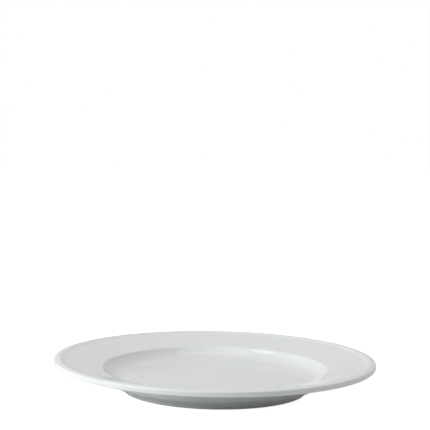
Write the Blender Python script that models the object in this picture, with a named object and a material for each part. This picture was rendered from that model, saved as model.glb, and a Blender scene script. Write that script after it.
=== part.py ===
"""Round porcelain dinner plate: rolled edge, sloping rim, shallow well and foot ring.

A plate like this is formed and fired as one piece, so it is one turned solid. Its half
section is a chain of straight runs with rounded corners, swept once round the vertical
axis. The origin is on the table, in the middle of the foot ring.
"""

import math

import bpy
from mathutils import Matrix, Vector

MM = 0.001

# Overall size, in millimetres, and how finely the turning is divided.
PLATE_RADIUS = 135.0
PLATE_HEIGHT = 27.4
TURN_STEPS = 96
ARC_TOLERANCE = 0.06
MERGE_DISTANCE = 0.00001

# Well: a flat floor, a wall rising at a slope and the rounded shoulder on top of it.
FLOOR_HEIGHT = 10.0
WALL_SLOPE = math.radians(49.0)
WALL_FOOT_ROUNDING = 10.0
SHOULDER_RADIUS = 94.2
SHOULDER_HEIGHT = 19.2
SHOULDER_ROUNDING = 3.5

# Rim: a straight cone from the shoulder up to the groove inside the rolled edge.
RIM_SLOPE = math.radians(11.9)

# Rolled edge: a broad crown with a soft groove inside it and a flat outer face below it.
CROWN_RADIUS = 130.6
CROWN_ROUNDING = 6.0
FLANK_SLOPE = math.radians(24.5)
BROW_SLOPE = math.radians(-22.0)
GROOVE_ROUNDING = 8.0
EDGE_TOP_ROUNDING = 1.3
EDGE_BOTTOM = 22.4
EDGE_BOTTOM_ROUNDING = 1.2

# Underside: the rim's back, the curved outer wall of the well and the ledge above the foot.
EDGE_BACK_WIDTH = 7.4
EDGE_BACK_RISE = 0.15
EDGE_BACK_ROUNDING = 12.0
RIM_BACK_RADIUS = 94.7
RIM_BACK_HEIGHT = 14.3
RIM_BACK_ROUNDING = 8.0
WALL_BACK_RADIUS = 88.3
WALL_BACK_HEIGHT = 4.8
WALL_BACK_ROUNDING = 14.0

# Foot ring: the flat face that stands on the table, and the recess inside it.
FOOT_RADIUS = 76.4
FOOT_WIDTH = 4.6
FOOT_HEIGHT = 4.2
FOOT_DRAFT = 0.5
FOOT_ROUNDING = 0.9
LEDGE_ROUNDING = 0.8
RECESS_HEIGHT = 4.0
RECESS_DRAFT = 1.4
RECESS_ROUNDING = 1.5

# Glaze: a clean, slightly cool white.
GLAZE_COLOUR = (0.79, 0.81, 0.80, 1.0)
GLAZE_ROUGHNESS = 0.12


def clear_scene():
    """Remove whatever the open file holds."""
    for thing in list(bpy.data.objects):
        bpy.data.objects.remove(thing, do_unlink=True)


def crossing(point, slope, other_point, other_slope):
    """Corner where two straight runs of the section meet, each given by a point and a slope."""
    rate = math.tan(slope)
    other_rate = math.tan(other_slope)
    radius = (other_point.y - point.y + rate * point.x - other_rate * other_point.x) / (rate - other_rate)
    return Vector((radius, point.y + rate * (radius - point.x)))


def crown_tangent(slope):
    """Point of the rolled edge's crown at which it has a slope."""
    centre = Vector((CROWN_RADIUS, PLATE_HEIGHT - CROWN_ROUNDING))
    return centre + CROWN_ROUNDING * Vector((-math.sin(slope), math.cos(slope)))


def upper_corners():
    """Corners of the eating side as (place, rounding), from the centre to the edge."""
    wall_run = (SHOULDER_HEIGHT - FLOOR_HEIGHT) / math.tan(WALL_SLOPE)
    shoulder = Vector((SHOULDER_RADIUS, SHOULDER_HEIGHT))
    flank = crown_tangent(FLANK_SLOPE)
    brow = crown_tangent(BROW_SLOPE)
    edge_top = brow.y + (PLATE_RADIUS - brow.x) * math.tan(BROW_SLOPE)
    return [
        (Vector((0.0, FLOOR_HEIGHT)), 0.0),
        (Vector((SHOULDER_RADIUS - wall_run, FLOOR_HEIGHT)), WALL_FOOT_ROUNDING),
        (shoulder, SHOULDER_ROUNDING),
        (crossing(shoulder, RIM_SLOPE, flank, FLANK_SLOPE), GROOVE_ROUNDING),
        (crossing(flank, FLANK_SLOPE, brow, BROW_SLOPE), CROWN_ROUNDING),
        (Vector((PLATE_RADIUS, edge_top)), EDGE_TOP_ROUNDING),
    ]


def lower_corners():
    """Corners of the underside as (place, rounding), from the edge to the centre."""
    foot_inner = FOOT_RADIUS - FOOT_WIDTH
    return [
        (Vector((PLATE_RADIUS, EDGE_BOTTOM)), EDGE_BOTTOM_ROUNDING),
        (Vector((PLATE_RADIUS - EDGE_BACK_WIDTH, EDGE_BOTTOM - EDGE_BACK_RISE)), EDGE_BACK_ROUNDING),
        (Vector((RIM_BACK_RADIUS, RIM_BACK_HEIGHT)), RIM_BACK_ROUNDING),
        (Vector((WALL_BACK_RADIUS, WALL_BACK_HEIGHT)), WALL_BACK_ROUNDING),
        (Vector((FOOT_RADIUS + FOOT_DRAFT, FOOT_HEIGHT)), LEDGE_ROUNDING),
        (Vector((FOOT_RADIUS, 0.0)), FOOT_ROUNDING),
        (Vector((foot_inner, 0.0)), FOOT_ROUNDING),
        (Vector((foot_inner - RECESS_DRAFT, RECESS_HEIGHT)), RECESS_ROUNDING),
        (Vector((0.0, RECESS_HEIGHT)), 0.0),
    ]


def rounded_corner(before, corner, after, rounding):
    """Points of the arc that rounds one corner, tangent to the runs on both sides of it."""
    back = (before - corner).normalized()
    ahead = (after - corner).normalized()
    turn = back.angle_signed(-ahead)
    setback = rounding * math.tan(abs(turn) / 2)
    start = corner + back * setback
    middle = (back + ahead).normalized()
    centre = corner + middle * math.hypot(rounding, setback)
    step_angle = 2 * math.acos(1 - ARC_TOLERANCE / rounding)
    steps = math.ceil(abs(turn) / step_angle)
    spoke = start - centre
    points = []
    for step in range(steps + 1):
        angle = -turn * step / steps
        points.append(centre + Matrix.Rotation(angle, 2) @ spoke)
    return points


def half_section():
    """The whole half section, from the floor's centre over the edge to the recess's centre."""
    corners = upper_corners() + lower_corners()
    places = [place for place, _ in corners]
    points = [places[0]]
    for index in range(1, len(corners) - 1):
        rounding = corners[index][1]
        points += rounded_corner(places[index - 1], places[index], places[index + 1], rounding)
    points.append(places[-1])
    return points


def glaze_material():
    """Smooth white glaze over porcelain."""
    material = bpy.data.materials.new("glazed_porcelain")
    material.use_nodes = True
    shader = material.node_tree.nodes["Principled BSDF"]
    shader.inputs["Base Color"].default_value = GLAZE_COLOUR
    shader.inputs["Roughness"].default_value = GLAZE_ROUGHNESS
    shader.inputs["Metallic"].default_value = 0.0
    material.diffuse_color = GLAZE_COLOUR
    return material


def turned_piece(name, section, material):
    """Sweep a half section once round the vertical axis into a closed solid."""
    vertices = [(point.x * MM, 0.0, point.y * MM) for point in section]
    edges = [(index, index + 1) for index in range(len(vertices) - 1)]
    mesh = bpy.data.meshes.new(name)
    mesh.from_pydata(vertices, edges, [])
    mesh.materials.append(material)
    piece = bpy.data.objects.new(name, mesh)
    bpy.context.scene.collection.objects.link(piece)
    turning = piece.modifiers.new("turning", "SCREW")
    turning.axis = "Z"
    turning.steps = TURN_STEPS
    turning.render_steps = TURN_STEPS
    turning.use_merge_vertices = True
    turning.merge_threshold = MERGE_DISTANCE
    turning.use_smooth_shade = True
    return piece


def main():
    clear_scene()
    turned_piece("plate", half_section(), glaze_material())


main()
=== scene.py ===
"""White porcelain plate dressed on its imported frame: turned surface, glaze, bare foot, studio and camera.

Sizes of the section are in millimetres and repeat those of the solid, apart from refinements of up to about
two millimetres: the well's wall has a softer foot and a tighter shoulder here, its back runs down to the
foot ring in one slope, and the rolled edge has a squarer outer corner. The plate's width and height come
from the frame, and so does its place.
"""

import math

import bpy
from mathutils import Matrix, Vector


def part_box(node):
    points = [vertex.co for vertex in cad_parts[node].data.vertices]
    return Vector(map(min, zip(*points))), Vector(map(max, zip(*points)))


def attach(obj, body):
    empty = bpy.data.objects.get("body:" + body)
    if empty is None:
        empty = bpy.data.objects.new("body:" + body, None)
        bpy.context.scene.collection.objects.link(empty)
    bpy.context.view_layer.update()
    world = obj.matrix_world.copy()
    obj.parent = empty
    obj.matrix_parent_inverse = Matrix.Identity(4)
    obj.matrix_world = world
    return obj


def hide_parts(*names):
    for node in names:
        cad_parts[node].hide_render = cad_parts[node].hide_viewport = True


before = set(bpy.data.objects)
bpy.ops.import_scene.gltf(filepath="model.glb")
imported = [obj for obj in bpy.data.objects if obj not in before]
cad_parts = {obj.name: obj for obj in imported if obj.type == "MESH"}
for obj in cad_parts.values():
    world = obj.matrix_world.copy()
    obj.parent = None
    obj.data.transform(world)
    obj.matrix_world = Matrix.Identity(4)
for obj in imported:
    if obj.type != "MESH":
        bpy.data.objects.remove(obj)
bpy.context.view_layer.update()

MM = 0.001
_, plate_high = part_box("plate")
PLATE_RADIUS = plate_high.x / MM
PLATE_HEIGHT = plate_high.z / MM

# How finely the surface is divided, in millimetres and steps.
TURN_STEPS = 240
ARC_TOLERANCE = 0.003
LONGEST_RUN = 5.0

# Well: a flat floor, a hollow wall that rises to a slope and the rounded shoulder on top of it.
FLOOR_HEIGHT = 10.0
WALL_SLOPE = math.radians(49.0)
WALL_FOOT_ROUNDING = 21.0
SHOULDER_RADIUS = 94.2
SHOULDER_HEIGHT = 19.2
SHOULDER_ROUNDING = 2.5

# Rim: a straight cone from the shoulder up to the groove inside the rolled edge.
RIM_SLOPE = math.radians(11.9)

# Rolled edge: a broad crown with a soft groove inside it and a flat outer face below it.
CROWN_RADIUS = 130.6
CROWN_ROUNDING = 6.0
FLANK_SLOPE = math.radians(24.5)
BROW_SLOPE = math.radians(-10.0)
GROOVE_ROUNDING = 8.0
EDGE_TOP_ROUNDING = 1.3
EDGE_BOTTOM = 22.4
EDGE_BOTTOM_ROUNDING = 1.2

# Underside: the rim's back, the outer wall of the well and the slope that runs from it down to the foot.
EDGE_BACK_WIDTH = 7.4
EDGE_BACK_RISE = 0.15
EDGE_BACK_ROUNDING = 12.0
RIM_BACK_RADIUS = 94.4
RIM_BACK_HEIGHT = 14.2
RIM_BACK_ROUNDING = 4.0
WALL_BACK_RADIUS = 92.5
WALL_BACK_HEIGHT = 9.5
WALL_BACK_ROUNDING = 7.5

# Foot ring: the flat face that stands on the table, and the recess inside it.
FOOT_RADIUS = 76.4
FOOT_WIDTH = 4.6
FOOT_HEIGHT = 3.2
FOOT_DRAFT = 3.5
FOOT_ROUNDING = 0.9
FOOT_TOP_ROUNDING = 3.0
RECESS_HEIGHT = 4.0
RECESS_DRAFT = 1.4
RECESS_ROUNDING = 1.5

# Glaze: a slightly cool white, cooler and a touch darker where it pools, with ripples and orange peel.
GLAZE_WHITE = (0.79, 0.812, 0.802, 1.0)
GLAZE_POOLED = (0.765, 0.795, 0.788, 1.0)
GLAZE_ROUGHNESS_LEAST = 0.04
GLAZE_ROUGHNESS_MOST = 0.07
GLAZE_IOR = 1.5
CLOUD_SIZE = 45.0
CLOUD_DETAIL = 2.0
RIPPLE_SIZE = 24.0
RIPPLE_DETAIL = 1.0
RIPPLE_DEPTH = 0.02
PEEL_SIZE = 1.6
PEEL_DETAIL = 1.0
PEEL_DEPTH = 0.001

# Bare foot: unglazed porcelain at the very bottom, matt and faintly grey from standing on tables.
BARE_HEIGHT = 0.35
BARE_WHITE = (0.74, 0.725, 0.69, 1.0)
BARE_GREY = (0.60, 0.59, 0.57, 1.0)
BARE_ROUGHNESS = 0.75
SCUFF_SIZE = 9.0
SCUFF_DETAIL = 6.0
GRAIN_SIZE = 0.5
GRAIN_DETAIL = 3.0
GRAIN_DEPTH = 0.02

# Studio, in metres, watts and plain strengths, where 1 is white.
FLOOR_SIZE = 6.0
FLOOR_COLOUR = (0.785, 0.80, 0.77, 1.0)
WHITE = (1.0, 1.0, 1.0, 1.0)
FLOOR_GLOW_SEEN = 0.88
FLOOR_GLOW_REFLECTED = 0.088
ROOM_SEEN = 1.0
ROOM_FRONT = 0.2
ROOM_BACK = 0.66
ROOM_OVERHEAD = 0.19
ROOM_LIGHT = 0.25
LAMP_DISTANCE = 1.6
LAMP_AIM = Vector((0.0, 0.0, 0.02))
WIDE_LAMP = 1.2
NARROW_LAMP = 0.6

# Camera: where it stands round the foot's centre, and the pixel at which the photograph shows that centre.
IMAGE_SIZE = 430
SENSOR_WIDTH = 36.0
LENS = 123.69
CAMERA_DISTANCE = 1.2536
CAMERA_ELEVATION = math.radians(12.03)
CAMERA_ROLL = math.radians(1.063)
FOOT_CENTRE_PIXEL = (214.4, 389.36)


def crossing(point, slope, other_point, other_slope):
    """Corner where two straight runs of the section meet, each given by a point and a slope."""
    rate = math.tan(slope)
    other_rate = math.tan(other_slope)
    radius = (other_point.y - point.y + rate * point.x - other_rate * other_point.x) / (rate - other_rate)
    return Vector((radius, point.y + rate * (radius - point.x)))


def crown_tangent(slope):
    """Point of the rolled edge's crown at which it has a slope."""
    centre = Vector((CROWN_RADIUS, PLATE_HEIGHT - CROWN_ROUNDING))
    return centre + CROWN_ROUNDING * Vector((-math.sin(slope), math.cos(slope)))


def upper_corners():
    """Corners of the eating side as (place, rounding), from the centre to the edge."""
    wall_run = (SHOULDER_HEIGHT - FLOOR_HEIGHT) / math.tan(WALL_SLOPE)
    shoulder = Vector((SHOULDER_RADIUS, SHOULDER_HEIGHT))
    flank = crown_tangent(FLANK_SLOPE)
    brow = crown_tangent(BROW_SLOPE)
    edge_top = brow.y + (PLATE_RADIUS - brow.x) * math.tan(BROW_SLOPE)
    return [
        (Vector((0.0, FLOOR_HEIGHT)), 0.0),
        (Vector((SHOULDER_RADIUS - wall_run, FLOOR_HEIGHT)), WALL_FOOT_ROUNDING),
        (shoulder, SHOULDER_ROUNDING),
        (crossing(shoulder, RIM_SLOPE, flank, FLANK_SLOPE), GROOVE_ROUNDING),
        (crossing(flank, FLANK_SLOPE, brow, BROW_SLOPE), CROWN_ROUNDING),
        (Vector((PLATE_RADIUS, edge_top)), EDGE_TOP_ROUNDING),
    ]


def lower_corners():
    """Corners of the underside as (place, rounding), from the edge to the centre."""
    foot_inner = FOOT_RADIUS - FOOT_WIDTH
    return [
        (Vector((PLATE_RADIUS, EDGE_BOTTOM)), EDGE_BOTTOM_ROUNDING),
        (Vector((PLATE_RADIUS - EDGE_BACK_WIDTH, EDGE_BOTTOM - EDGE_BACK_RISE)), EDGE_BACK_ROUNDING),
        (Vector((RIM_BACK_RADIUS, RIM_BACK_HEIGHT)), RIM_BACK_ROUNDING),
        (Vector((WALL_BACK_RADIUS, WALL_BACK_HEIGHT)), WALL_BACK_ROUNDING),
        (Vector((FOOT_RADIUS + FOOT_DRAFT, FOOT_HEIGHT)), FOOT_TOP_ROUNDING),
        (Vector((FOOT_RADIUS, 0.0)), FOOT_ROUNDING),
        (Vector((foot_inner, 0.0)), FOOT_ROUNDING),
        (Vector((foot_inner - RECESS_DRAFT, RECESS_HEIGHT)), RECESS_ROUNDING),
        (Vector((0.0, RECESS_HEIGHT)), 0.0),
    ]


def rounded_corner(before, corner, after, rounding):
    """Points of the arc that rounds one corner, tangent to the runs on both sides of it."""
    back = (before - corner).normalized()
    ahead = (after - corner).normalized()
    turn = back.angle_signed(-ahead)
    setback = rounding * math.tan(abs(turn) / 2)
    start = corner + back * setback
    middle = (back + ahead).normalized()
    centre = corner + middle * math.hypot(rounding, setback)
    step_angle = 2 * math.acos(1 - ARC_TOLERANCE / rounding)
    steps = math.ceil(abs(turn) / step_angle)
    spoke = start - centre
    return [centre + Matrix.Rotation(-turn * step / steps, 2) @ spoke for step in range(steps + 1)]


def half_section():
    """The half section from the floor's centre over the edge to the recess's centre."""
    corners = upper_corners() + lower_corners()
    places = [place for place, _ in corners]
    points = [places[0]]
    for index in range(1, len(corners) - 1):
        rounding = corners[index][1]
        points += rounded_corner(places[index - 1], places[index], places[index + 1], rounding)
    points.append(places[-1])
    return points


def divided(points):
    """The same section with its long straight runs broken up, so that shading stays local."""
    fine = [points[0]]
    for point in points[1:]:
        start = fine[-1]
        runs = math.ceil((point - start).length / LONGEST_RUN)
        fine += [start.lerp(point, run / runs) for run in range(1, runs + 1)]
    return fine


def turned_mesh(name, section):
    """Sweep a half section that starts and ends on the vertical axis into a closed mesh."""
    rings = section[1:-1]
    vertices = [(0.0, 0.0, section[0].y * MM)]
    for point in rings:
        radius = point.x * MM
        for step in range(TURN_STEPS):
            angle = math.tau * step / TURN_STEPS
            vertices.append((radius * math.cos(angle), radius * math.sin(angle), point.y * MM))
    vertices.append((0.0, 0.0, section[-1].y * MM))
    last = len(vertices) - 1
    last_ring = last - TURN_STEPS
    faces = []
    for step in range(TURN_STEPS):
        beside = (step + 1) % TURN_STEPS
        faces.append((0, 1 + step, 1 + beside))
        for ring in range(len(rings) - 1):
            inner = 1 + ring * TURN_STEPS
            outer = inner + TURN_STEPS
            faces.append((inner + step, outer + step, outer + beside, inner + beside))
        faces.append((last_ring + step, last, last_ring + beside))
    mesh = bpy.data.meshes.new(name)
    mesh.from_pydata(vertices, [], faces)
    mesh.shade_smooth()
    return mesh


def shader_node(tree, kind, **values):
    """New node of a kind, with its unlinked inputs set by name."""
    node = tree.nodes.new(kind)
    for name, value in values.items():
        node.inputs[name.replace("_", " ")].default_value = value
    return node


def noise(tree, place, size, detail):
    """Soft noise whose blotches are about one size across, in millimetres."""
    node = shader_node(tree, "ShaderNodeTexNoise", Scale=1.0 / (size * MM), Detail=detail)
    tree.links.new(place, node.inputs["Vector"])
    return node.outputs["Fac"]


def new_material(name):
    """New material, given with its node tree, its Principled shader and the object coordinates."""
    material = bpy.data.materials.new(name)
    material.use_nodes = True
    tree = material.node_tree
    place = tree.nodes.new("ShaderNodeTexCoord").outputs["Object"]
    return material, tree, tree.nodes["Principled BSDF"], place


def mixed_colour(tree, factor, first, second):
    """Colour that runs from one to another with a factor."""
    node = tree.nodes.new("ShaderNodeMix")
    node.data_type = "RGBA"
    node.inputs["A"].default_value = first
    node.inputs["B"].default_value = second
    tree.links.new(factor, node.inputs["Factor"])
    return node.outputs["Result"]


def bumps(tree, layers):
    """Surface normal with layers of bumps, each a height from 0 to 1 and a depth in millimetres."""
    normal = None
    for height, depth in layers:
        node = shader_node(tree, "ShaderNodeBump", Distance=depth * MM)
        tree.links.new(height, node.inputs["Height"])
        if normal:
            tree.links.new(normal, node.inputs["Normal"])
        normal = node.outputs["Normal"]
    return normal


def glaze_material():
    """Clear gloss over white porcelain: faint clouds, an uneven sheen, slow ripples and orange peel."""
    material, tree, shader, place = new_material("glaze")
    clouds = noise(tree, place, CLOUD_SIZE, CLOUD_DETAIL)
    tree.links.new(mixed_colour(tree, clouds, GLAZE_WHITE, GLAZE_POOLED), shader.inputs["Base Color"])
    sheen = shader_node(
        tree, "ShaderNodeMapRange", To_Min=GLAZE_ROUGHNESS_LEAST, To_Max=GLAZE_ROUGHNESS_MOST
    )
    tree.links.new(clouds, sheen.inputs["Value"])
    tree.links.new(sheen.outputs["Result"], shader.inputs["Roughness"])
    ripples = noise(tree, place, RIPPLE_SIZE, RIPPLE_DETAIL)
    peel = noise(tree, place, PEEL_SIZE, PEEL_DETAIL)
    normal = bumps(tree, [(ripples, RIPPLE_DEPTH), (peel, PEEL_DEPTH)])
    tree.links.new(normal, shader.inputs["Normal"])
    shader.inputs["IOR"].default_value = GLAZE_IOR
    return material


def bare_material():
    """Matt unglazed porcelain with a fine grain, greyed in patches by use."""
    material, tree, shader, place = new_material("bare_porcelain")
    scuffs = noise(tree, place, SCUFF_SIZE, SCUFF_DETAIL)
    tree.links.new(mixed_colour(tree, scuffs, BARE_WHITE, BARE_GREY), shader.inputs["Base Color"])
    grain = noise(tree, place, GRAIN_SIZE, GRAIN_DETAIL)
    tree.links.new(bumps(tree, [(grain, GRAIN_DEPTH)]), shader.inputs["Normal"])
    shader.inputs["Roughness"].default_value = BARE_ROUGHNESS
    return material


def add_object(name, data):
    """New object in the scene."""
    thing = bpy.data.objects.new(name, data)
    bpy.context.scene.collection.objects.link(thing)
    return thing


def make_plate():
    """The plate's fine surface: glazed all over, but bare on the face that stands on the table."""
    mesh = turned_mesh("plate_surface", divided(half_section()))
    mesh.materials.append(glaze_material())
    mesh.materials.append(bare_material())
    bare_slot = len(mesh.materials) - 1
    for face in mesh.polygons:
        highest = max(mesh.vertices[index].co.z for index in face.vertices)
        if highest < BARE_HEIGHT * MM:
            face.material_index = bare_slot
    plate = add_object("plate_surface", mesh)
    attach(plate, "root")
    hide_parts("plate")


def glowing(tree, surface, strength):
    """A surface with a white glow added to it."""
    glow = shader_node(tree, "ShaderNodeEmission", Color=WHITE, Strength=strength)
    both = tree.nodes.new("ShaderNodeAddShader")
    tree.links.new(surface, both.inputs[0])
    tree.links.new(glow.outputs["Emission"], both.inputs[1])
    return both.outputs["Shader"]


def by_ray(tree, lighting, reflected, seen):
    """One shader as light, another in reflections and through glass, and a third to the camera."""
    path = tree.nodes.new("ShaderNodeLightPath")
    mirrored = tree.nodes.new("ShaderNodeMath")
    mirrored.operation = "MAXIMUM"
    tree.links.new(path.outputs["Is Glossy Ray"], mirrored.inputs[0])
    tree.links.new(path.outputs["Is Transmission Ray"], mirrored.inputs[1])
    result = lighting
    for factor, shader in ((mirrored.outputs["Value"], reflected), (path.outputs["Is Camera Ray"], seen)):
        mix = tree.nodes.new("ShaderNodeMixShader")
        tree.links.new(factor, mix.inputs["Fac"])
        tree.links.new(result, mix.inputs[1])
        tree.links.new(shader, mix.inputs[2])
        result = mix.outputs["Shader"]
    return result


def make_floor():
    """Pale floor, white to the eye and dimmer in reflections, that still takes the plate's shadow."""
    half = FLOOR_SIZE / 2
    mesh = bpy.data.meshes.new("floor")
    corners = [(-half, -half, 0.0), (half, -half, 0.0), (half, half, 0.0), (-half, half, 0.0)]
    mesh.from_pydata(corners, [], [(0, 1, 2, 3)])
    material = bpy.data.materials.new("floor")
    material.use_nodes = True
    tree = material.node_tree
    tree.nodes.clear()
    matt = shader_node(tree, "ShaderNodeBsdfDiffuse", Color=FLOOR_COLOUR).outputs["BSDF"]
    reflected = glowing(tree, matt, FLOOR_GLOW_REFLECTED)
    seen = glowing(tree, matt, FLOOR_GLOW_SEEN)
    result = by_ray(tree, matt, reflected, seen)
    tree.links.new(result, tree.nodes.new("ShaderNodeOutputMaterial").inputs["Surface"])
    mesh.materials.append(material)
    add_object("floor", mesh)


def reflected_room(tree):
    """Strength of the room in reflections: it rises from the front wall to the back one, and overhead.

    Each part of a direction runs from -1 to 1.
    """
    direction = tree.nodes.new("ShaderNodeSeparateXYZ")
    tree.links.new(tree.nodes.new("ShaderNodeTexCoord").outputs["Generated"], direction.inputs["Vector"])
    walls = shader_node(tree, "ShaderNodeMapRange", From_Min=-1.0, To_Min=ROOM_FRONT, To_Max=ROOM_BACK)
    tree.links.new(direction.outputs["Y"], walls.inputs["Value"])
    whole = tree.nodes.new("ShaderNodeMath")
    whole.operation = "MULTIPLY_ADD"
    tree.links.new(direction.outputs["Z"], whole.inputs[0])
    whole.inputs[1].default_value = ROOM_OVERHEAD
    tree.links.new(walls.outputs["Result"], whole.inputs[2])
    return whole.outputs["Value"]


def make_room():
    """White room: an even soft light, white to the eye and pale in reflections."""
    world = bpy.data.worlds.new("room")
    bpy.context.scene.world = world
    world.use_nodes = True
    tree = world.node_tree
    tree.nodes.clear()
    lighting = shader_node(tree, "ShaderNodeBackground", Color=WHITE, Strength=ROOM_LIGHT)
    reflected = shader_node(tree, "ShaderNodeBackground", Color=WHITE)
    tree.links.new(reflected_room(tree), reflected.inputs["Strength"])
    seen = shader_node(tree, "ShaderNodeBackground", Color=WHITE, Strength=ROOM_SEEN)
    shades = [node.outputs["Background"] for node in (lighting, reflected, seen)]
    tree.links.new(by_ray(tree, *shades), tree.nodes.new("ShaderNodeOutputWorld").inputs["Surface"])


def add_lamp(name, azimuth, elevation, diameter, power, mirrored=True):
    """Round soft lamp aimed at the plate; azimuth 0 is on the camera's side, positive to the right.

    A lamp that isn't mirrored lights the plate, but doesn't show in its glaze.
    """
    turn = math.radians(azimuth)
    rise = math.radians(elevation)
    outward = Vector((math.sin(turn) * math.cos(rise), -math.cos(turn) * math.cos(rise), math.sin(rise)))
    light = bpy.data.lights.new(name, "AREA")
    light.shape = "DISK"
    light.size = diameter
    light.energy = power
    lamp = add_object(name, light)
    lamp.visible_glossy = mirrored
    lamp.location = LAMP_AIM + outward * LAMP_DISTANCE
    lamp.rotation_euler = outward.to_track_quat("Z", "Y").to_euler()


def make_lamps():
    """Key light from the upper left, two low lamps under it, one overhead and a weak one on the right."""
    add_lamp("low_left", azimuth=-80.0, elevation=2.0, diameter=NARROW_LAMP, power=7.0, mirrored=False)
    add_lamp("low_key", azimuth=-62.0, elevation=8.0, diameter=WIDE_LAMP, power=9.2, mirrored=False)
    add_lamp("key", azimuth=-73.0, elevation=46.5, diameter=WIDE_LAMP, power=12.6)
    add_lamp("top", azimuth=0.0, elevation=90.0, diameter=WIDE_LAMP, power=4.8)
    add_lamp("right", azimuth=100.0, elevation=20.0, diameter=WIDE_LAMP, power=4.0, mirrored=False)


def facing(direction, up):
    """Axes of a camera that looks along a direction with its top towards up."""
    right = direction.cross(up).normalized()
    return Matrix((right, right.cross(direction), -direction)).transposed()


def make_camera():
    """Camera that shows the foot's centre at its pixel in the photograph, from the photograph's angle."""
    data = bpy.data.cameras.new("camera")
    data.sensor_width = SENSOR_WIDTH
    data.lens = LENS
    camera = add_object("camera", data)
    pixel_size = SENSOR_WIDTH / IMAGE_SIZE
    column, row = FOOT_CENTRE_PIXEL
    across = (column - IMAGE_SIZE / 2) * pixel_size
    down = (row - IMAGE_SIZE / 2) * pixel_size
    ray = Vector((across, -down, -LENS)).normalized()
    picture = facing(ray, Vector((0.0, 1.0, 0.0)))
    aim = Vector((0.0, math.cos(CAMERA_ELEVATION), -math.sin(CAMERA_ELEVATION)))
    level = facing(aim, Vector((0.0, 0.0, 1.0)))
    turned = level @ Matrix.Rotation(CAMERA_ROLL, 3, "Z") @ picture.transposed()
    camera.matrix_world = Matrix.Translation(-aim * CAMERA_DISTANCE) @ turned.to_4x4()
    bpy.context.scene.camera = camera


make_plate()
make_floor()
make_room()
make_lamps()
make_camera()
bpy.context.scene.view_settings.view_transform = "Standard"
